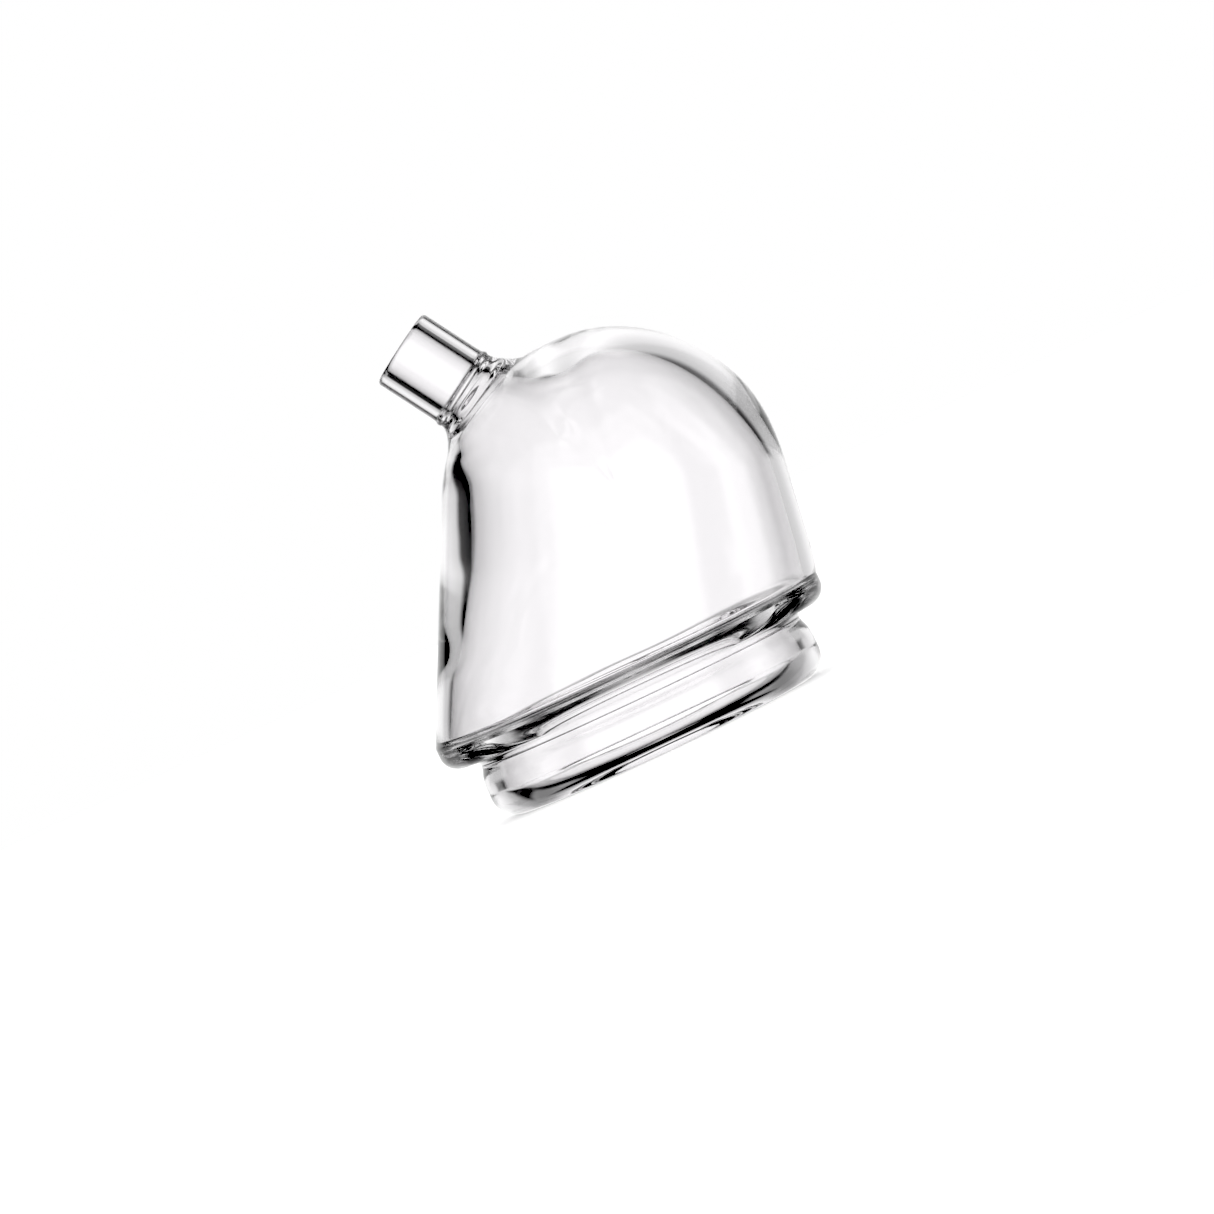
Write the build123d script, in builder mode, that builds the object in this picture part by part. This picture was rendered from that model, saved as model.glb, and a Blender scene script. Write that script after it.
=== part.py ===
from build123d import *
import math
import os

os.makedirs("parts", exist_ok=True)

# foot, collar and base shoulder, turned about +Z with the underside of the foot at Z = 0
foot_r = 34.6
foot_edge_r = 4.8
collar_wall = 3.2
collar_neck_r = 33.6
floor_t = 2.5
floor_r = 27.8
floor_round = 0.7
opening_r = 20.5
inner_r = 31.2
inner_round = 3.4
shoulder_r = 40.2
shoulder_low = 12.6
shoulder_top = 18.0
shoulder_round = 3.6
ledge_z = 16.8
ledge_round = 3.0
ledge_corner = 1.2

# bell, a turned form on an axis leaning to +X
bell_lean = 17.4
bell_foot_z = 10.7
girth_h = 40.2
girth_r = 33.3
girth_wall = 2.8
bell_taper = 0.163
side_left_h = -4.0
side_right_h = 19.5
crown_h = 30.7
crown_wall = 4.4
crown_power = 2.6
crown_inner_power = 2.0

# neck, leaning to -X from a point on the bell axis at the girth
neck_lean = 31.85
neck_r = 8.0
bore_r = 5.0
mouth_d = 48.7
root_d = 35.4
lip_round = 1.0
weld_r = 10.6
weld_outer_d = 31.9
weld_inner_d = 26.0
weld_low_d = 10.0
bore_end_d = 31.0

lean = math.radians(bell_lean)
axis_x = math.sin(lean)
axis_z = math.cos(lean)
girth_x = girth_h * axis_x
girth_z = bell_foot_z + girth_h * axis_z
bell_section = Plane(origin=(0, 0, bell_foot_z), x_dir=(axis_z, 0, -axis_x), z_dir=(0, -1, 0))
bell_axis = Axis((0, 0, bell_foot_z), (axis_x, 0, axis_z))

neck = math.radians(neck_lean)
neck_x = -math.sin(neck)
neck_z = math.cos(neck)
neck_section = Plane(origin=(girth_x, 0, girth_z), x_dir=(neck_z, 0, -neck_x), z_dir=(0, -1, 0))
neck_axis = Axis((girth_x, 0, girth_z), (neck_x, 0, neck_z))


def ring_on(left_h, left_r, right_h, right_r):
    # circle standing on one point of each side line of the bell
    lx = -left_r * axis_z + left_h * axis_x
    lz = bell_foot_z + left_r * axis_x + left_h * axis_z
    rx = right_r * axis_z + right_h * axis_x
    rz = bell_foot_z - right_r * axis_x + right_h * axis_z
    radius = math.hypot(rx - lx, rz - lz) / 2
    centre = ((lx + rx) / 2, 0, (lz + rz) / 2)
    return Plane(origin=centre, x_dir=(rx - lx, 0, rz - lz), z_dir=(-(rz - lz), 0, rx - lx)), radius


def bell_body(wall, top_h, power, mode):
    # side of the bell: rings that turn from level at the shoulder to square at the girth
    with BuildSketch(Plane.XY.offset(shoulder_top)) as base_ring:
        Circle(shoulder_r - wall)
    rings = [base_ring.sketch.face()]
    for step in (0.25, 0.5, 0.75, 1.0):
        left_h = side_left_h + (girth_h - side_left_h) * step
        right_h = side_right_h + (girth_h - side_right_h) * step
        left_r = girth_r - wall + bell_taper * (girth_h - left_h)
        right_r = girth_r - wall + bell_taper * (girth_h - right_h)
        plane, radius = ring_on(left_h, left_r, right_h, right_r)
        with BuildSketch(plane) as side_ring:
            Circle(radius)
        rings.append(side_ring.sketch.face())
    loft(sections=rings, mode=mode)
    # crown: a superellipse turned about the bell axis
    points = []
    for angle in (0, 18, 36, 52, 66, 78):
        rise = math.sin(math.radians(angle))
        radius = (girth_r - wall - bell_taper * top_h * rise) * (1 - rise**power) ** 0.5
        points.append((radius, girth_h + top_h * rise))
    points.append((0, girth_h + top_h))
    with BuildSketch(bell_section) as half_crown:
        with BuildLine():
            Spline(*points, tangents=((-bell_taper, 1), (-1, 0)))
            Line((0, girth_h + top_h), (0, girth_h))
            Line((0, girth_h), points[0])
        make_face()
    revolve(profiles=half_crown.sketch, axis=bell_axis, mode=mode)


def bell_shell():
    bell_body(0, crown_h, crown_power, Mode.ADD)
    bell_body(girth_wall, crown_h - crown_wall, crown_inner_power, Mode.SUBTRACT)


with BuildPart() as neck_tube:
    with BuildSketch(neck_section):
        with Locations(((bore_r + neck_r) / 2, (root_d + mouth_d) / 2)):
            Rectangle(neck_r - bore_r, mouth_d - root_d)
    revolve(axis=neck_axis)
    fillet(neck_tube.faces().sort_by(neck_axis)[-1].edges(), lip_round)
neck_tube.part.label = "neck_tube"
export_step(neck_tube.part, "parts/neck_tube.step")

with BuildPart() as bell:
    bell_shell()
    with BuildSketch(neck_section):
        with Locations((weld_r / 2, mouth_d / 2)):
            Rectangle(weld_r, mouth_d)
    revolve(axis=neck_axis, mode=Mode.SUBTRACT)
bell.part.label = "bell"
export_step(bell.part, "parts/bell.step")

with BuildPart() as neck_weld:
    bell_shell()
    with BuildSketch(neck_section):
        with Locations((weld_r / 2, mouth_d / 2)):
            Rectangle(weld_r, mouth_d)
    revolve(axis=neck_axis, mode=Mode.INTERSECT)
    # fused collar that sweeps up from the crown to the tube
    with BuildSketch(neck_section):
        with BuildLine():
            Polyline((weld_r, weld_outer_d - 1.5), (0, 28.5), (0, root_d), (neck_r, root_d))
            Spline((neck_r, root_d), (8.45, 34.1), (9.1, 33.0), (weld_r, weld_outer_d))
            Line((weld_r, weld_outer_d), (weld_r, weld_outer_d - 1.5))
        make_face()
    revolve(axis=neck_axis)
    # bore that opens out into the bell
    with BuildSketch(neck_section):
        with BuildLine():
            Polyline((0, root_d), (bore_r, root_d), (bore_r, bore_end_d))
            Spline(
                (bore_r, bore_end_d),
                (5.9, 29.4),
                (8.1, 27.8),
                (weld_r, weld_inner_d),
                tangents=((0, -1), (1, -0.5)),
            )
            Polyline((weld_r, weld_inner_d), (weld_r, weld_low_d), (0, weld_low_d), (0, root_d))
        make_face()
    revolve(axis=neck_axis, mode=Mode.SUBTRACT)
neck_weld.part.label = "neck_weld"
export_step(neck_weld.part, "parts/neck_weld.step")

ledge_r = collar_neck_r - collar_wall
shoulder_in_r = shoulder_r - girth_wall
with BuildPart() as base_shoulder:
    with BuildSketch(Plane.XZ):
        with BuildLine():
            Line((shoulder_r, shoulder_top), (shoulder_r, shoulder_low + shoulder_round))
            RadiusArc(
                (shoulder_r, shoulder_low + shoulder_round),
                (shoulder_r - shoulder_round, shoulder_low),
                shoulder_round,
            )
            Polyline(
                (shoulder_r - shoulder_round, shoulder_low),
                (collar_neck_r, shoulder_low),
                (ledge_r, shoulder_low),
                (ledge_r, ledge_z - ledge_round),
            )
            RadiusArc((ledge_r, ledge_z - ledge_round), (ledge_r + ledge_round, ledge_z), ledge_round)
            Line((ledge_r + ledge_round, ledge_z), (shoulder_in_r - ledge_corner, ledge_z))
            RadiusArc((shoulder_in_r - ledge_corner, ledge_z), (shoulder_in_r, shoulder_top), -ledge_corner)
            Line((shoulder_in_r, shoulder_top), (shoulder_r, shoulder_top))
        make_face()
    revolve(axis=Axis.Z)
base_shoulder.part.label = "base_shoulder"
export_step(base_shoulder.part, "parts/base_shoulder.step")

with BuildPart() as foot_collar:
    with BuildSketch(Plane.XZ):
        with BuildLine():
            Line((ledge_r, shoulder_low), (collar_neck_r, shoulder_low))
            Spline(
                (collar_neck_r, shoulder_low),
                (foot_r - 0.3, 9.6),
                (foot_r, 7.4),
                (foot_r, foot_edge_r),
                tangents=((0.1, -1), (0, -1)),
            )
            RadiusArc((foot_r, foot_edge_r), (foot_r - foot_edge_r, 0), foot_edge_r)
            Polyline((foot_r - foot_edge_r, 0), (floor_r, 0), (floor_r, floor_t))
            RadiusArc((floor_r, floor_t), (inner_r, floor_t + inner_round), -inner_round)
            Line((inner_r, floor_t + inner_round), (ledge_r, shoulder_low))
        make_face()
    revolve(axis=Axis.Z)
foot_collar.part.label = "foot_collar"
export_step(foot_collar.part, "parts/foot_collar.step")

with BuildPart() as foot_floor:
    with BuildSketch(Plane.XZ):
        with Locations(((opening_r + floor_r) / 2, floor_t / 2)):
            Rectangle(floor_r - opening_r, floor_t)
    revolve(axis=Axis.Z)
    fillet(foot_floor.faces().sort_by(Axis.Z)[-1].edges().sort_by(SortBy.LENGTH)[0], floor_round)
foot_floor.part.label = "foot_floor"
export_step(foot_floor.part, "parts/foot_floor.step")

for piece in (neck_tube, neck_weld, bell, base_shoulder, foot_collar, foot_floor):
    box = piece.part.bounding_box()
    low = [round(v, 2) for v in (box.min.X, box.min.Y, box.min.Z)]
    high = [round(v, 2) for v in (box.max.X, box.max.Y, box.max.Z)]
    print(piece.part.label, len(piece.part.solids()), round(piece.part.volume, 1), low, high)
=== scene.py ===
import bpy
import math
import numpy as np
from mathutils import Matrix, Vector


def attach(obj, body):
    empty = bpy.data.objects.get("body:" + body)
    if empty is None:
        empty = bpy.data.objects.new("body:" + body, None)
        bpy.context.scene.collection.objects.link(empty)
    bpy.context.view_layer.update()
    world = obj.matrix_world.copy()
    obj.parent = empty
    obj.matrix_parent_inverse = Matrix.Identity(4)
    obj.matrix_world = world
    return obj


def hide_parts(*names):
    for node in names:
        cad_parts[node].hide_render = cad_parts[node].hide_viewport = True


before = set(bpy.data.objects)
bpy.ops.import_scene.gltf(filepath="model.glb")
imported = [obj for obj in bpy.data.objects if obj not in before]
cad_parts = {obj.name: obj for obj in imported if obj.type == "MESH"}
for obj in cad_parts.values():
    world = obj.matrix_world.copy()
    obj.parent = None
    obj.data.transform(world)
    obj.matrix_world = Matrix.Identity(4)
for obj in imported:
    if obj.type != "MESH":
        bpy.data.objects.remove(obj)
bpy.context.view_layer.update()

print("stage: frame loaded")

# lengths are in millimetres until a mesh is made
mm = 0.001
around = 320
turn = np.linspace(0.0, 2.0 * math.pi, around, endpoint=False)
cosTurn = np.cos(turn)[None, :, None]
sinTurn = np.sin(turn)[None, :, None]
across = np.array([0.0, 1.0, 0.0])
sideways = np.array([1.0, 0.0, 0.0])
upwards = np.array([0.0, 0.0, 1.0])


def unitRows(v):
    return v / np.linalg.norm(v, axis=-1, keepdims=True)


def easeStep(x):
    # 3 x^2 - 2 x^3 between 0 and 1
    x = np.clip(x, 0.0, 1.0)
    return x * x * (3.0 - 2.0 * x)


def bump(x, centre, width):
    # gaussian of height 1
    return np.exp(-(((x - centre) / width) ** 2))


def turned(radius, height, origin, up, right):
    # point = origin + h up + r (cos a right + sin a across)
    r, h = np.broadcast_arrays(radius, height)
    r, h = r[:, None, None], h[:, None, None]
    return origin + h * up + r * (cosTurn * right + sinTurn * across)


def footRings(profile):
    # radius and height turned about the vertical
    return turned(profile[:, 0], profile[:, 1], np.zeros(3), upwards, sideways)


def arcLine(cx, cz, r, start, end, count):
    # circle arc in the profile plane, angles in degrees
    a = np.radians(np.linspace(start, end, count))
    return np.stack([cx + r * np.cos(a), cz + r * np.sin(a)], axis=1)


def levelLine(start, end, z, count):
    return np.stack([np.linspace(start, end, count), np.full(count, z)], axis=1)


def joinRings(ringA, slopeA, ringB, slopeB, count):
    # cubic Hermite between two rings, ends left out
    t = np.linspace(0.0, 1.0, count)[1:-1, None, None]
    return (
        (2 * t**3 - 3 * t**2 + 1) * ringA
        + (t**3 - 2 * t**2 + t) * slopeA
        + (-2 * t**3 + 3 * t**2) * ringB
        + (t**3 - t**2) * slopeB
    )


def smoothTable(points, width, x):
    # straight lines between points, rounded by a gaussian
    p = np.array(points, float)
    step = 0.05
    half = int(round(3.0 * width / step))
    grid = np.arange(p[0, 0] - 3.0 * width, p[-1, 0] + 3.0 * width, step)
    kernel = bump(np.arange(-half, half + 1) * step, 0.0, width)
    padded = np.pad(np.interp(grid, p[:, 0], p[:, 1]), half, mode="edge")
    return np.interp(x, grid, np.convolve(padded, kernel / kernel.sum(), mode="valid"))


# one closed skin is made of spans of rings: down the outside, under the foot and back up the inside
spans = {}

# neck tube: drawn heavy-wall tube, placed along its own axis from the centre of the bell's girth
neckTube = {
    "lean": math.radians(31.85),
    "r": 8.0,
    "bore": 5.0,
    "mouth": 48.7,
    "root": 35.4,
    "lip": 1.0,
    "lipGap": 0.6,  # first straight ring below the lip
    "rings": 16,
}

# bell: heights are along its leaning axis from the middle of the foot, angles from the neck or the axis
bell = {
    "lean": math.radians(17.4),
    "footZ": 10.7,
    "girthH": 40.2,
    "girthR": 33.3,
    "taper": 0.163,
    "wall": 2.8,
    # crown above the girth: r = (girthR - taper h) sqrt(1 - (h / crownH)^power)
    "crownH": 30.7,
    "crownWall": 4.5,
    "crownPower": 2.6,
    "innerPower": 2.05,
    "crownBelow": 16.0,
    # level ring on the shoulder, and the height where each side line leaves it
    "baseZ": 18.0,
    "baseR": 40.2,
    "baseEase": 0.22,
    "leftH": -4.0,
    "rightH": 19.5,
    "sideRings": 44,
    "crownRings": 64,
    # hollow beside the neck: depth, angle from the neck and width, seen from the side
    "hollowOut": (0.7, math.radians(25.0), math.radians(17.0)),
    "hollowIn": (2.7, math.radians(24.5), math.radians(17.5)),
    "hollowAcross": 0.75,
    # the inner wall rises towards the neck: height and width, and the share of the crown it settles over
    "trumpetOut": (0.0, 1.0),
    "trumpetIn": (3.3, math.radians(25.0)),
    "trumpetSettle": 0.6,
    # extra glass under the neck: height up the bell axis against depth
    "heavy": [
        (-2, 0), (4, 0), (9, 0.15), (16, 1.2), (24, 2.0), (29, 2.5), (35, 2.5),
        (42, 2.1), (46, 1.9), (49, 2.2), (52, 2.3), (55, 1.8), (58, 0.8), (62, 0),
    ],
    "heavyRound": 1.8,
    "heavyCore": 20.0,
    "heavyFocus": 1.5,
}

bellUp = np.array([math.sin(bell["lean"]), 0.0, math.cos(bell["lean"])])
bellRight = np.array([math.cos(bell["lean"]), 0.0, -math.sin(bell["lean"])])
bellFoot = np.array([0.0, 0.0, bell["footZ"]])
girth = bellFoot + bell["girthH"] * bellUp
neckUp = np.array([-math.sin(neckTube["lean"]), 0.0, math.cos(neckTube["lean"])])
neckRight = np.array([math.cos(neckTube["lean"]), 0.0, math.sin(neckTube["lean"])])


def neckRings(radius, distance):
    return turned(radius, distance, girth, neckUp, neckRight)


lip = neckTube["lip"]
lipTop = neckTube["mouth"] - lip
outerLip = arcLine(neckTube["r"] - lip, lipTop, lip, 90, 0, 10)
innerLip = arcLine(neckTube["bore"] + lip, lipTop, lip, 180, 98, 9)
tubeD = np.linspace(lipTop - neckTube["lipGap"], neckTube["root"], neckTube["rings"])
spans["tubeOut"] = np.concatenate([
    neckRings(outerLip[:, 0], outerLip[:, 1]),
    neckRings(neckTube["r"], tubeD),
])
spans["tubeIn"] = np.concatenate([
    neckRings(neckTube["bore"], tubeD[::-1]),
    neckRings(innerLip[:, 0], innerLip[:, 1]),
])


def sideRings(wall, count):
    # rings stand on the two side lines of the bell and turn from level to square with its axis
    s = np.linspace(0.0, 1.0, count)
    top, taper = bell["girthH"], bell["taper"]
    leftH = bell["leftH"] + (top - bell["leftH"]) * s
    rightH = bell["rightH"] + (top - bell["rightH"]) * s
    leftR = bell["girthR"] - wall + taper * (top - leftH)
    rightR = bell["girthR"] - wall + taper * (top - rightH)
    left = bellFoot + leftH[:, None] * bellUp - leftR[:, None] * bellRight
    right = bellFoot + rightH[:, None] * bellUp + rightR[:, None] * bellRight
    # the first stretch eases into the level ring on top of the shoulder
    ease = easeStep(s / bell["baseEase"])[:, None]
    baseR = bell["baseR"] - wall
    left = left * ease + np.array([-baseR, 0.0, bell["baseZ"]]) * (1.0 - ease)
    right = right * ease + np.array([baseR, 0.0, bell["baseZ"]]) * (1.0 - ease)
    centre = ((left + right) / 2.0)[:, None, :]
    half = ((right - left) / 2.0)[:, None, :]
    radius = np.linalg.norm(half, axis=2, keepdims=True)
    return centre + cosTurn * half + sinTurn * radius * across


def crownReach(wall, height, power):
    # distance from the girth centre to the crown against the angle from the bell axis
    below = np.linspace(-bell["crownBelow"], 0.0, 300)[:-1]
    h = np.concatenate([below, height * np.sin(np.linspace(0.0, math.pi / 2, 3000))])
    rise = np.clip(h, 0.0, None) / height
    r = (bell["girthR"] - wall - bell["taper"] * h) * np.sqrt(np.clip(1.0 - rise**power, 0.0, None))
    angle = np.arctan2(r, h)
    order = np.argsort(angle)
    return angle[order], np.hypot(r, h)[order]


def crownRings(table, firstAngle, hollow, trumpet):
    # each ring is a cone of directions whose axis swings from the neck to the bell axis
    a = np.linspace(firstAngle, math.pi / 2, bell["crownRings"])[:, None, None]
    part = (math.pi / 2 - a) / (math.pi / 2 - firstAngle)
    swing = (neckTube["lean"] + bell["lean"]) * part
    axis = np.cos(swing) * bellUp - np.sin(swing) * bellRight
    side = np.cos(swing) * bellRight + np.sin(swing) * bellUp
    ray = np.cos(a) * axis + np.sin(a) * (cosTurn * side + sinTurn * across)
    reach = np.interp(np.arccos(np.clip(ray @ bellUp, -1.0, 1.0)), table[0], table[1])
    # rise towards the neck
    rise, riseWidth = trumpet
    toNeck = np.arccos(np.clip(ray @ neckUp, -1.0, 1.0))
    settle = easeStep(part / bell["trumpetSettle"])[:, :, 0]
    reach = reach + rise * settle * bump(toNeck, 0.0, riseWidth)
    # hollow between neck and crown: gaussian in the angle seen from the side, fading across the bell
    depth, at, width = hollow
    toHollow = np.arctan2(ray @ neckRight, ray @ neckUp)
    fade = bump(ray @ across, 0.0, bell["hollowAcross"])
    reach = reach - depth * fade * bump(toHollow, at, width)
    return girth + ray * reach[:, :, None]


def heavySide(rings):
    # glass gathers under the neck: the inner wall moves towards the bell axis on that side
    up = (rings - bellFoot) @ bellUp
    off = rings - bellFoot - up[:, :, None] * bellUp
    reach = np.linalg.norm(off, axis=2)
    fromLeft = np.arctan2(off @ across, -(off @ bellRight))
    depth = smoothTable(bell["heavy"], bell["heavyRound"], up)
    fade = np.clip(reach / bell["heavyCore"], 0.0, 1.0)
    amount = depth * fade * ((1.0 + np.cos(fromLeft)) / 2.0) ** bell["heavyFocus"]
    return rings - off / np.maximum(reach, 1e-6)[:, :, None] * amount[:, :, None]


# neck weld: the tube is sealed to the crown in the flame, with a bead outside and one in the bore
neckWeld = {
    # beads: swell, distance along the neck and width
    "outerBead": (0.35, 34.5, 0.6),
    "boreBead": (0.7, 33.4, 0.8),
    "beadD": (0.2, 33.9),
    "beadRings": 9,
    "boreGap": 0.3,
    "boreRings": 14,
    # angle from the neck where the fillet meets the crown, and its pull at each end
    "outerMeet": math.radians(22.5),
    "outerPull": 4.4,
    "outerRings": 16,
    "innerMeet": math.radians(16.0),
    "innerPull": 1.6,
    "innerRings": 8,
    # the bore widens where it opens into the crown: radius and distance along the neck
    "pocket": [(6.6, 29.5), (5.9, 30.0), (5.4, 30.5), (5.1, 31.1), (5.0, 31.8)],
}

outerTable = crownReach(0.0, bell["crownH"], bell["crownPower"])
outerCrown = crownRings(outerTable, neckWeld["outerMeet"], bell["hollowOut"], bell["trumpetOut"])
sideOut = sideRings(0.0, bell["sideRings"])[::-1]
innerTable = crownReach(bell["wall"], bell["crownH"] - bell["crownWall"], bell["innerPower"])
innerCrown = crownRings(innerTable, neckWeld["innerMeet"], bell["hollowIn"], bell["trumpetIn"])
innerCrown = heavySide(innerCrown)
sideIn = heavySide(sideRings(bell["wall"], bell["sideRings"]))
spans["bellOut"] = np.concatenate([outerCrown[1:], sideOut[1:]])
spans["bellIn"] = np.concatenate([sideIn, innerCrown[::-1][1:-1]])

beadGap, beadEnd = neckWeld["beadD"]
swell, swellAt, swellWidth = neckWeld["outerBead"]
beadD = np.linspace(neckTube["root"] - beadGap, beadEnd, neckWeld["beadRings"])
bead = neckRings(neckTube["r"] + swell * bump(beadD, swellAt, swellWidth), beadD)
outerSlope = unitRows(outerCrown[1] - outerCrown[0]) * neckWeld["outerPull"]
neckSlope = -neckUp * neckWeld["outerPull"]
weldOut = joinRings(bead[-1], neckSlope, outerCrown[0], outerSlope, neckWeld["outerRings"])
spans["weldOut"] = np.concatenate([bead, weldOut, outerCrown[:1]])

pocket = np.array(neckWeld["pocket"])
boreFoot = neckRings(pocket[:, 0], pocket[:, 1])
pocketSlope = unitRows(boreFoot[0] - boreFoot[1]) * neckWeld["innerPull"]
innerSlope = unitRows(innerCrown[1] - innerCrown[0]) * neckWeld["innerPull"]
weldIn = joinRings(boreFoot[0], pocketSlope, innerCrown[0], innerSlope, neckWeld["innerRings"])[::-1]
boreGap = neckWeld["boreGap"]
lowD = np.linspace(pocket[-1, 1] + boreGap, neckTube["root"] - boreGap, neckWeld["boreRings"])
swell, swellAt, swellWidth = neckWeld["boreBead"]
boreLow = neckRings(neckTube["bore"] - swell * bump(lowD, swellAt, swellWidth), lowD)
spans["weldIn"] = np.concatenate([innerCrown[:1], weldIn, boreFoot, boreLow])

# base shoulder: the heavy ridge where the wall turns in; profile points are radius and height
baseShoulder = {
    "low": 12.6,
    "round": 3.6,
    "start": [(40.2, 17.4), (40.2, 16.8)],
    "turnIn": [(35.2, 12.6), (34.3, 12.45), (33.8, 12.1)],
    "ledgeZ": 16.8,
    "ledgeRound": 3.0,
    "ledge": [(34.4, 16.8), (35.3, 16.8)],
    "cornerRound": 1.2,
    "wallFoot": (30.4, 12.8),
}
low, ledgeZ = baseShoulder["low"], baseShoulder["ledgeZ"]
outRound, ledgeRound, corner = baseShoulder["round"], baseShoulder["ledgeRound"], baseShoulder["cornerRound"]
wallFootR = baseShoulder["wallFoot"][0]
spans["shoulderOut"] = footRings(np.concatenate([
    np.array(baseShoulder["start"]),
    arcLine(bell["baseR"] - outRound, low + outRound, outRound, 0, -84, 18),
    np.array(baseShoulder["turnIn"]),
]))
spans["shoulderIn"] = footRings(np.concatenate([
    np.array([baseShoulder["wallFoot"]]),
    arcLine(wallFootR + ledgeRound, ledgeZ - ledgeRound, ledgeRound, 180, 90, 14),
    np.array(baseShoulder["ledge"]),
    arcLine(bell["baseR"] - bell["wall"] - corner, ledgeZ + corner, corner, -90, -12, 8),
]))

# foot floor: flat ring with the opening
footFloor = {
    "thick": 2.5,
    "openR": 20.5,
    "lowRound": 0.5,
    "topRound": 0.9,
    "meetR": 27.8,
    # flat stretches stop short of the joint, and of the opening below and above
    "gaps": (0.6, 1.0, 1.5),
    "rings": 10,
}
openR, thick, meetR = footFloor["openR"], footFloor["thick"], footFloor["meetR"]
lowRound, topRound = footFloor["lowRound"], footFloor["topRound"]
jointGap, lowGap, topGap = footFloor["gaps"]
spans["floorSkin"] = footRings(np.concatenate([
    levelLine(meetR - jointGap, openR + lowGap, 0.0, footFloor["rings"]),
    arcLine(openR + lowRound, lowRound, lowRound, -90, -180, 6),
    arcLine(openR + topRound, thick - topRound, topRound, 180, 90, 8),
    levelLine(openR + topGap, meetR, thick, footFloor["rings"]),
]))

# foot collar: waisted under the shoulder, rounded where it stands
footCollar = {
    "r": 34.6,
    "edgeR": 4.8,
    "waist": [
        (33.6, 11.4), (33.75, 10.7), (34.05, 9.9), (34.33, 9.1),
        (34.5, 8.3), (34.58, 7.5), (34.6, 6.6), (34.6, 5.7),
    ],
    "standing": [(29.1, 0.0), (28.4, 0.0), (27.8, 0.0)],
    "innerRound": 3.4,
    "innerWall": [(31.1, 7.6), (30.9, 9.2), (30.65, 10.9), (30.4, 12.0)],
}
edge, inRound = footCollar["edgeR"], footCollar["innerRound"]
spans["collarOut"] = footRings(np.concatenate([
    np.array(footCollar["waist"]),
    arcLine(footCollar["r"] - edge, edge, edge, 0, -90, 22),
    np.array(footCollar["standing"]),
]))
spans["collarIn"] = footRings(np.concatenate([
    arcLine(meetR, thick + inRound, inRound, -80, 0, 12),
    np.array(footCollar["innerWall"]),
]))

skinOrder = [
    "tubeOut", "weldOut", "bellOut", "shoulderOut", "collarOut", "floorSkin",
    "collarIn", "shoulderIn", "bellIn", "weldIn", "tubeIn",
]
skin = np.concatenate([spans[name] for name in skinOrder])
ringCount = len(skin)
ringEnds = np.cumsum([len(spans[name]) for name in skinOrder])
lastRing = {name: int(end) - 1 for name, end in zip(skinOrder, ringEnds)}
firstRing = {name: lastRing[name] + 1 - len(spans[name]) for name in skinOrder}

# smooth normals of the whole skin, so that neighbouring pieces shade as one glass
alongSkin = np.roll(skin, -1, axis=0) - np.roll(skin, 1, axis=0)
aroundSkin = np.roll(skin, -1, axis=1) - np.roll(skin, 1, axis=1)
skinNormals = unitRows(np.cross(alongSkin, aroundSkin))
print("stage: skin", skin.shape)


def makePiece(name, strips, seams, materials):
    # strips: (first ring, last ring) on the skin; seams: ring pairs closed by a flat fused face
    ringIds = np.concatenate([np.arange(a, b + 1) % ringCount for a, b in strips])
    unique = np.unique(ringIds)
    points = skin[unique].reshape(-1, 3) * mm
    rowOf = np.full(ringCount, -1)
    rowOf[unique] = np.arange(len(unique))
    column = np.arange(around)
    nextColumn = (column + 1) % around
    quads = []
    normals = []
    slots = []
    for a, b in strips:
        near = np.arange(a, b) % ringCount
        far = (near + 1) % ringCount
        corners = [(near, column), (near, nextColumn), (far, nextColumn), (far, column)]
        ids = [rowOf[rows][:, None] * around + columns[None, :] for rows, columns in corners]
        quads.append(np.stack(ids, axis=-1).reshape(-1, 4))
        shading = [skinNormals[rows][:, columns] for rows, columns in corners]
        normals.append(np.stack(shading, axis=2).reshape(-1, 4, 3))
        slots.append(np.zeros(len(near) * around, int))
    for a, b in seams:
        startA, startB = rowOf[a] * around, rowOf[b] * around
        corners = [startA + column, startA + nextColumn, startB + nextColumn, startB + column]
        face = np.stack(corners, axis=-1)
        p = points[face]
        square = unitRows(np.cross(p[:, 2] - p[:, 0], p[:, 3] - p[:, 1]))
        quads.append(face)
        normals.append(np.repeat(square[:, None, :], 4, axis=1))
        slots.append(np.ones(len(face), int))
    quads = np.concatenate(quads)[:, ::-1]
    normals = np.concatenate(normals)[:, ::-1]
    mesh = bpy.data.meshes.new(name)
    mesh.vertices.add(len(points))
    mesh.vertices.foreach_set("co", points.ravel())
    mesh.loops.add(quads.size)
    mesh.loops.foreach_set("vertex_index", quads.ravel())
    mesh.polygons.add(len(quads))
    mesh.polygons.foreach_set("loop_start", np.arange(0, quads.size, 4))
    mesh.polygons.foreach_set("material_index", np.concatenate(slots))
    mesh.update(calc_edges=True)
    mesh.polygons.foreach_set("use_smooth", np.ones(len(quads), bool))
    mesh.normals_split_custom_set(normals.reshape(-1, 3))
    for material in materials:
        mesh.materials.append(material)
    made = bpy.data.objects.new(name, mesh)
    bpy.context.scene.collection.objects.link(made)
    return made


def linear(hexColour):
    # sRGB hex to linear
    parts = [int(hexColour[i : i + 2], 16) / 255.0 for i in (1, 3, 5)]
    return tuple(c / 12.92 if c <= 0.04045 else ((c + 0.055) / 1.055) ** 2.4 for c in parts) + (1.0,)


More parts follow.
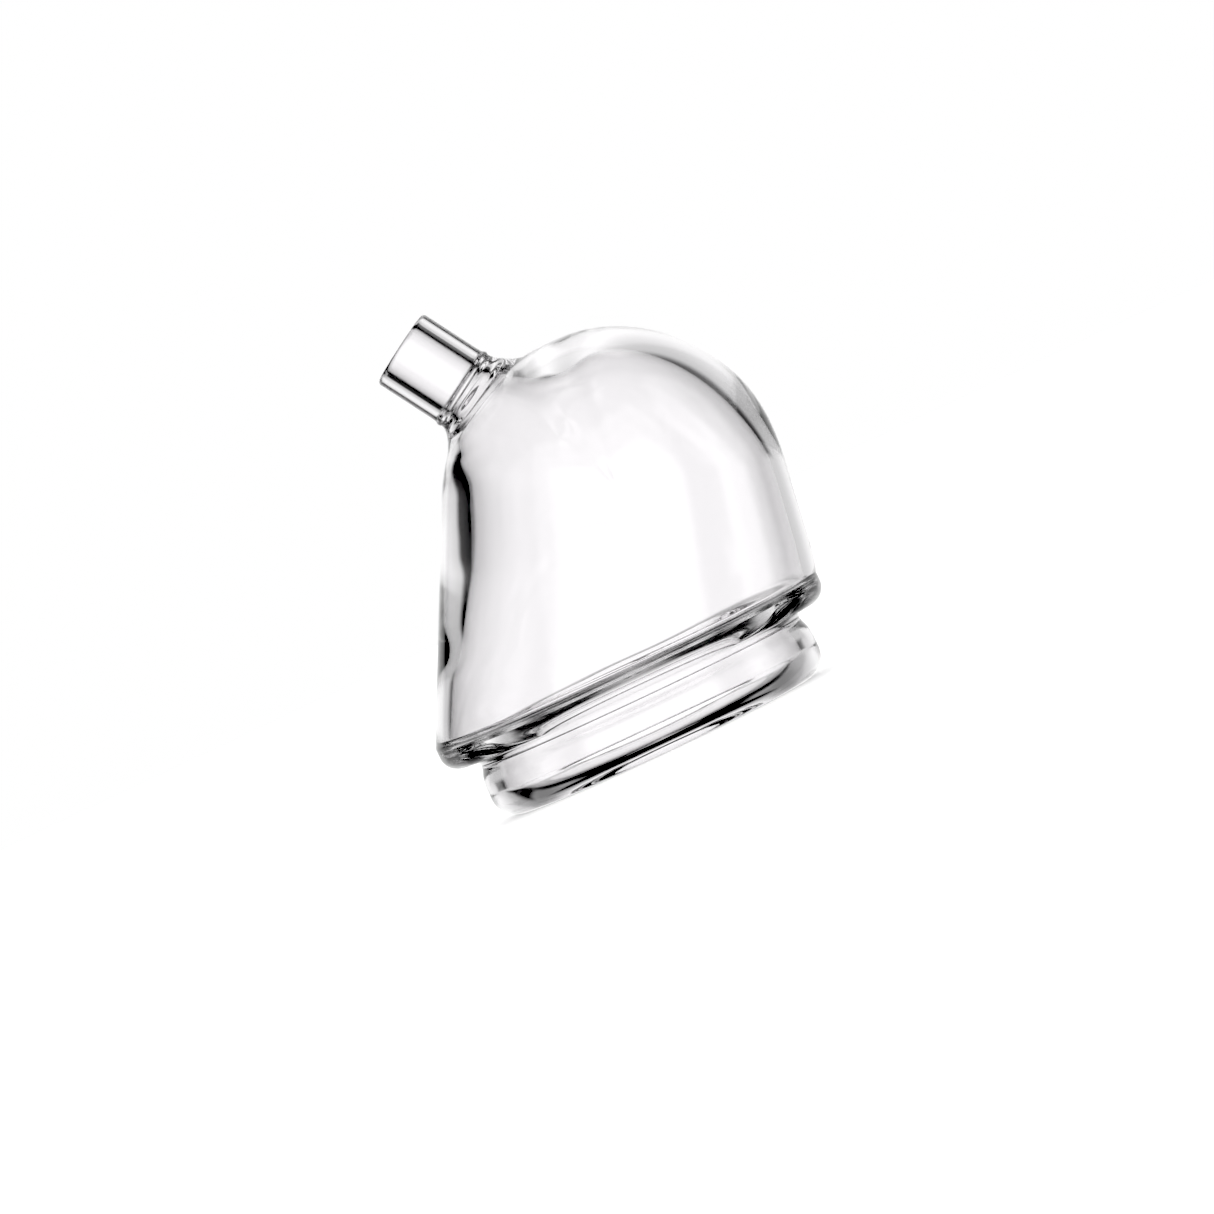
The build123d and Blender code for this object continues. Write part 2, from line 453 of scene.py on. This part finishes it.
def addNode(tree, kind, inputs=None, **settings):
    # a value becomes the input's own, a socket is linked to it
    node = tree.nodes.new(kind)
    for key, value in settings.items():
        setattr(node, key, value)
    for key, value in (inputs or {}).items():
        if isinstance(value, bpy.types.NodeSocket):
            tree.links.new(value, node.inputs[key])
        else:
            node.inputs[key].default_value = value
    return node


# borosilicate is water clear: the eye reads it by its dark and bright edges and by slow waves in the surface
glassIor = 1.474


def glassMaterial(name, tint, waveLength, waveDepth):
    # waves: noise of the given spacing and depth in mm
    material = bpy.data.materials.new(name)
    material.use_nodes = True
    tree = material.node_tree
    shader = tree.nodes["Principled BSDF"]
    shader.inputs["Base Color"].default_value = linear(tint)
    shader.inputs["Metallic"].default_value = 0.0
    shader.inputs["Roughness"].default_value = 0.0
    shader.inputs["IOR"].default_value = glassIor
    shader.inputs["Transmission Weight"].default_value = 1.0
    spot = addNode(tree, "ShaderNodeTexCoord")
    wave = addNode(
        tree,
        "ShaderNodeTexNoise",
        {"Vector": spot.outputs["Object"], "Scale": 1.0 / (waveLength * mm), "Detail": 1.0, "Roughness": 0.4},
    )
    relief = addNode(
        tree,
        "ShaderNodeBump",
        {"Height": wave.outputs["Fac"], "Strength": 1.0, "Distance": waveDepth * mm},
    )
    tree.links.new(relief.outputs["Normal"], shader.inputs["Normal"])
    return material


# mouth-blown walls: long soft waves that bend what is seen through them
blownGlass = glassMaterial("borosilicate_blown", "#FDFCFD", 40.0, 0.012)
# drawn tube: the straightest and cleanest
drawnTube = glassMaterial("borosilicate_drawn_tube", "#FCFBFC", 34.0, 0.01)
# flame-fused weld: short waves where the glass flowed
fusedWeld = glassMaterial("borosilicate_flame_fused", "#FBFAFB", 12.0, 0.012)
# foot shaped with a paddle: deeper waves
pressedFoot = glassMaterial("borosilicate_shaped_foot", "#FCFBFC", 24.0, 0.02)

# a fused joint has no surface inside the glass
fusedJoint = bpy.data.materials.new("borosilicate_fused_joint")
fusedJoint.use_nodes = True
jointTree = fusedJoint.node_tree
clear = addNode(jointTree, "ShaderNodeBsdfTransparent")
jointTree.links.new(clear.outputs[0], jointTree.nodes["Material Output"].inputs["Surface"])
jointTree.nodes.remove(jointTree.nodes["Principled BSDF"])

# each piece lies between the fused joint above it and the one below: (last outer ring, first inner ring)
plan = {
    "neck_tube": (None, "tubeOut", "tubeIn", drawnTube),
    "neck_weld": (("tubeOut", "tubeIn"), "weldOut", "weldIn", fusedWeld),
    "bell": (("weldOut", "weldIn"), "bellOut", "bellIn", blownGlass),
    "base_shoulder": (("bellOut", "bellIn"), "shoulderOut", "shoulderIn", pressedFoot),
    "foot_collar": (("shoulderOut", "shoulderIn"), "collarOut", "collarIn", pressedFoot),
    "foot_floor": (("collarOut", "collarIn"), None, None, pressedFoot),
}
for node, (above, outside, inside, glass) in plan.items():
    strips = []
    seams = []
    if outside:
        outEnd, inStart = lastRing[outside], firstRing[inside]
        seams.append((outEnd, inStart))
    if above:
        outStart, inEnd = lastRing[above[0]], firstRing[above[1]]
        seams.append((inEnd, outStart))
    if above and outside:
        strips = [(outStart, outEnd), (inStart, inEnd)]
    elif above:
        strips = [(outStart, inEnd)]
    else:
        strips = [(inStart, ringCount + outEnd)]
    piece = makePiece(node + "_glass", strips, seams, [glass, fusedJoint])
    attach(piece, "root")
    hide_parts(node)
print("stage: pieces")

# pale floor, seen directly and by diffuse light only
floorForm = {"half": 3.0, "z": -0.00005, "colour": "#F2F2F2", "roughness": 0.6, "glow": 0.5}
floorCorners = [(x * floorForm["half"], y * floorForm["half"], 0) for x, y in ((-1, -1), (1, -1), (1, 1), (-1, 1))]
floor = bpy.data.meshes.new("floor")
floor.from_pydata(floorCorners, [], [(0, 1, 2, 3)])
floorObject = bpy.data.objects.new("floor", floor)
bpy.context.scene.collection.objects.link(floorObject)
floorObject.location = (0.0, 0.0, floorForm["z"])
floorObject.visible_transmission = False
floorObject.visible_glossy = False
floorPaint = bpy.data.materials.new("floor_white")
floorPaint.use_nodes = True
floorShader = floorPaint.node_tree.nodes["Principled BSDF"]
floorShader.inputs["Base Color"].default_value = linear(floorForm["colour"])
floorShader.inputs["Roughness"].default_value = floorForm["roughness"]
floorShader.inputs["Emission Color"].default_value = (1.0, 1.0, 1.0, 1.0)
floorShader.inputs["Emission Strength"].default_value = floorForm["glow"]
floor.materials.append(floorPaint)

# studio world: a bright back wall between dark screens, dark rings above and below, and a grey ground;
# angles in degrees, by compass from straight behind the vessel and by height above the horizon
light = {
    "bright": 1.12,
    "dark": 0.005,
    "fill": 1.1,
    "soft": 4.0,
    # screens at full height: compass angle and half width
    "screens": [(64.0, 13.0), (116.0, 13.0), (-64.0, 13.0), (-116.0, 13.0)],
    # screens above the level of the glass: compass angle, half width and what they let through
    "wide": [(58.0, 23.0, 0.18), (-56.0, 27.0, 0.0), (-90.0, 30.0, 0.3)],
    "wideFloor": 1.0,
    # thin veils either side of the bright wall, and how much they hold back
    "veils": [(44.0, 26.0), (-44.0, 26.0)],
    "veil": 0.42,
    "veilSoft": 16.0,
    # narrow screen square to the neck: compass angle and half width, and sine of its half thickness
    "neckScreen": (-57.5, 21.5),
    "neckScreenThick": 0.085,
    "neckScreenEdge": (0.6, 1.4),
    # dark rings: height and half width
    "rings": [(66.0, 15.0), (-62.0, 10.0)],
    "frontLow": (-55.0, 19.0),
    "frontHalf": 30.0,
    "ground": (-34.0, -8.0),
    "groundLevel": 0.45,
}
world = bpy.data.worlds.new("studio")
bpy.context.scene.world = world
world.use_nodes = True
sky = world.node_tree
background = sky.nodes["Background"]
looking = addNode(sky, "ShaderNodeTexCoord").outputs["Generated"]


def addMath(operation, one, other):
    return addNode(sky, "ShaderNodeMath", {0: one, 1: other}, operation=operation).outputs[0]


def addVector(operation, inputs, result):
    return addNode(sky, "ShaderNodeVectorMath", inputs, operation=operation).outputs[result]


def mapSmooth(value, low, high, least=0.0, most=1.0):
    return addNode(
        sky,
        "ShaderNodeMapRange",
        {"Value": value, "From Min": low, "From Max": high, "To Min": least, "To Max": most},
        interpolation_type="SMOOTHSTEP",
    ).outputs["Result"]


def screenAt(angle, centre, half, soft=light["soft"], least=0.0):
    # 1 outside the screen, least on it
    off = addMath("ABSOLUTE", addMath("SUBTRACT", angle, math.radians(centre)), 0.0)
    return mapSmooth(off, math.radians(half - soft), math.radians(half + soft), least)


axes = addNode(sky, "ShaderNodeSeparateXYZ", {0: looking})
level = addVector("MULTIPLY", {0: looking, 1: (1.0, 1.0, 0.0)}, "Vector")
compass = addMath("ARCTAN2", axes.outputs["X"], axes.outputs["Y"])
height = addMath("ARCTAN2", axes.outputs["Z"], addVector("LENGTH", {0: level}, "Value"))

shade = mapSmooth(height, *[math.radians(v) for v in light["ground"]], light["groundLevel"])
for centre, half in light["rings"]:
    shade = addMath("MULTIPLY", shade, screenAt(height, centre, half))
for centre, half in light["screens"]:
    shade = addMath("MULTIPLY", shade, screenAt(compass, centre, half))
# the low ring reaches higher in front
frontLow = screenAt(height, *light["frontLow"])
frontSide = screenAt(compass, 0.0, light["frontHalf"])
shade = addMath("MULTIPLY", shade, addMath("MAXIMUM", frontLow, frontSide))
# wide screens end above the ground
wideTop = math.radians(light["wideFloor"] + light["soft"])
wideEnd = math.radians(light["wideFloor"] - light["soft"])
wideStep = mapSmooth(height, wideTop, wideEnd)
for centre, half, least in light["wide"]:
    wideShade = addMath("MAXIMUM", screenAt(compass, centre, half, least=least), wideStep)
    shade = addMath("MULTIPLY", shade, wideShade)
for centre, half in light["veils"]:
    veil = screenAt(compass, centre, half, light["veilSoft"], 1.0 - light["veil"])
    shade = addMath("MULTIPLY", shade, veil)
# the narrow screen stands on the low side of the neck
alongNeck = addVector("DOT_PRODUCT", {0: looking, 1: tuple(neckUp)}, "Value")
neckEdges = [light["neckScreenThick"] * share for share in light["neckScreenEdge"]]
offStep = mapSmooth(addMath("ABSOLUTE", alongNeck, 0.0), *neckEdges)
neckSide = screenAt(compass, *light["neckScreen"])
shade = addMath("MULTIPLY", shade, addMath("MAXIMUM", neckSide, offStep))

# the backdrop is plain white to the eye, and diffuse light is even
seen = addNode(sky, "ShaderNodeLightPath")
studioLevels = {"Value": shade, "To Min": light["dark"], "To Max": light["bright"]}
strength = addNode(sky, "ShaderNodeMapRange", studioLevels).outputs["Result"]
for rayKind, plain in (("Is Camera Ray", 1.0), ("Is Diffuse Ray", light["fill"])):
    choice = addNode(
        sky,
        "ShaderNodeMix",
        {"Factor": seen.outputs[rayKind], "A": strength, "B": plain},
        data_type="FLOAT",
    )
    strength = choice.outputs["Result"]
sky.links.new(strength, background.inputs["Strength"])
background.inputs["Color"].default_value = (1.0, 1.0, 1.0, 1.0)

# the camera stands level with the foot and is rolled, so the vessel leans as it does balanced on its edge
view = {
    "lens": 201.4,
    "sensor": 36.0,
    "nearest": 0.01,
    "distance": 1.3,
    "lift": math.radians(1.0),
    "roll": math.radians(25.2),
    "aim": Vector((0.0, 0.0, 0.0161)),
    "slide": (-0.0044, 0.0119),
}
back = Vector((0.0, -math.cos(view["lift"]), math.sin(view["lift"])))
plainRight = Vector((1.0, 0.0, 0.0))
plainUp = back.cross(plainRight)
right = math.cos(view["roll"]) * plainRight - math.sin(view["roll"]) * plainUp
up = math.sin(view["roll"]) * plainRight + math.cos(view["roll"]) * plainUp
camera = bpy.data.objects.new("camera", bpy.data.cameras.new("camera"))
camera.data.lens = view["lens"]
camera.data.sensor_width = view["sensor"]
camera.data.clip_start = view["nearest"]
bpy.context.scene.collection.objects.link(camera)
aim = view["aim"] + right * view["slide"][0] + up * view["slide"][1]
turnTo = Matrix((right, up, back)).transposed().to_4x4()
camera.matrix_world = Matrix.Translation(aim + back * view["distance"]) @ turnTo
bpy.context.scene.camera = camera

# thick glass needs many bounces; the black level keeps its dark edges dark
finish = {"blackLevel": 0.06, "bounces": 32, "glossyBounces": 12}
scene = bpy.context.scene
scene.view_settings.view_transform = "Standard"
scene.view_settings.use_curve_mapping = True
scene.view_settings.curve_mapping.black_level = (finish["blackLevel"],) * 3
scene.view_settings.curve_mapping.update()
scene.cycles.max_bounces = finish["bounces"]
scene.cycles.transmission_bounces = finish["bounces"]
scene.cycles.glossy_bounces = finish["glossyBounces"]
scene.cycles.transparent_max_bounces = finish["bounces"]
print("stage: light and camera")
